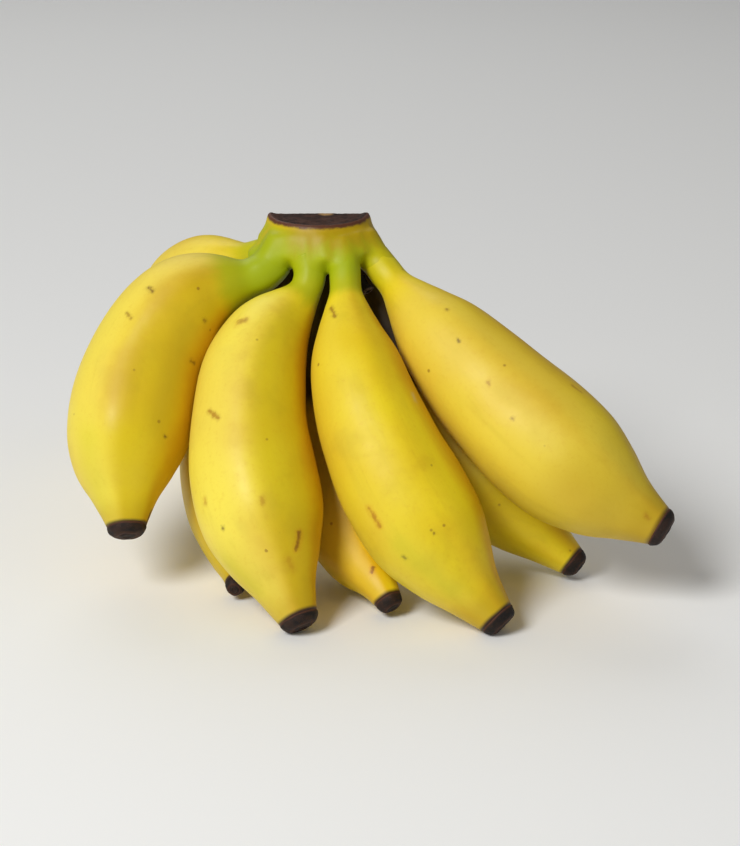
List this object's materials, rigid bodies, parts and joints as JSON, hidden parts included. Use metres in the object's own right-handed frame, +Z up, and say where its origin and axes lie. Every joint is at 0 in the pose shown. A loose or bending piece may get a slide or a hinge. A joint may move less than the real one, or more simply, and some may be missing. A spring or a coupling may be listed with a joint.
{
  "type": "banana hand",
  "caption": "A hand of short, plump yellow dessert bananas in two rows, grown together at one green crown with a dark cut face.",
  "frame": {"origin": "on the surface the hand stands on, under the middle of its box", "axes": "+Z up, through the crown's cut face; -Y towards the fruits' outer row, the side that shows; +X along the row, to the right seen from -Y"},
  "size_m": [0.1659, 0.1442, 0.0969],
  "materials": {
    "peel": "satin, waxy",
    "stalk_green": "satin, waxy",
    "dry_flower": "dry and rough",
    "dry_stub": "dry and rough"
  },
  "bodies": {
    "root": {"crown": "stalk_green", "finger_outer_1": "peel", "blossom_outer_1": "dry_flower", "finger_outer_2": "peel", "blossom_outer_2": "dry_flower", "finger_outer_3": "peel", "blossom_outer_3": "dry_flower", "finger_outer_4": "peel", "blossom_outer_4": "dry_flower", "finger_outer_5": "peel", "blossom_outer_5": "dry_flower", "finger_inner_1": "peel", "blossom_inner_1": "dry_flower", "finger_inner_2": "peel", "blossom_inner_2": "dry_flower", "finger_inner_3": "peel", "blossom_inner_3": "dry_flower", "dried_stub": "dry_stub"}
  },
  "joints": []
}
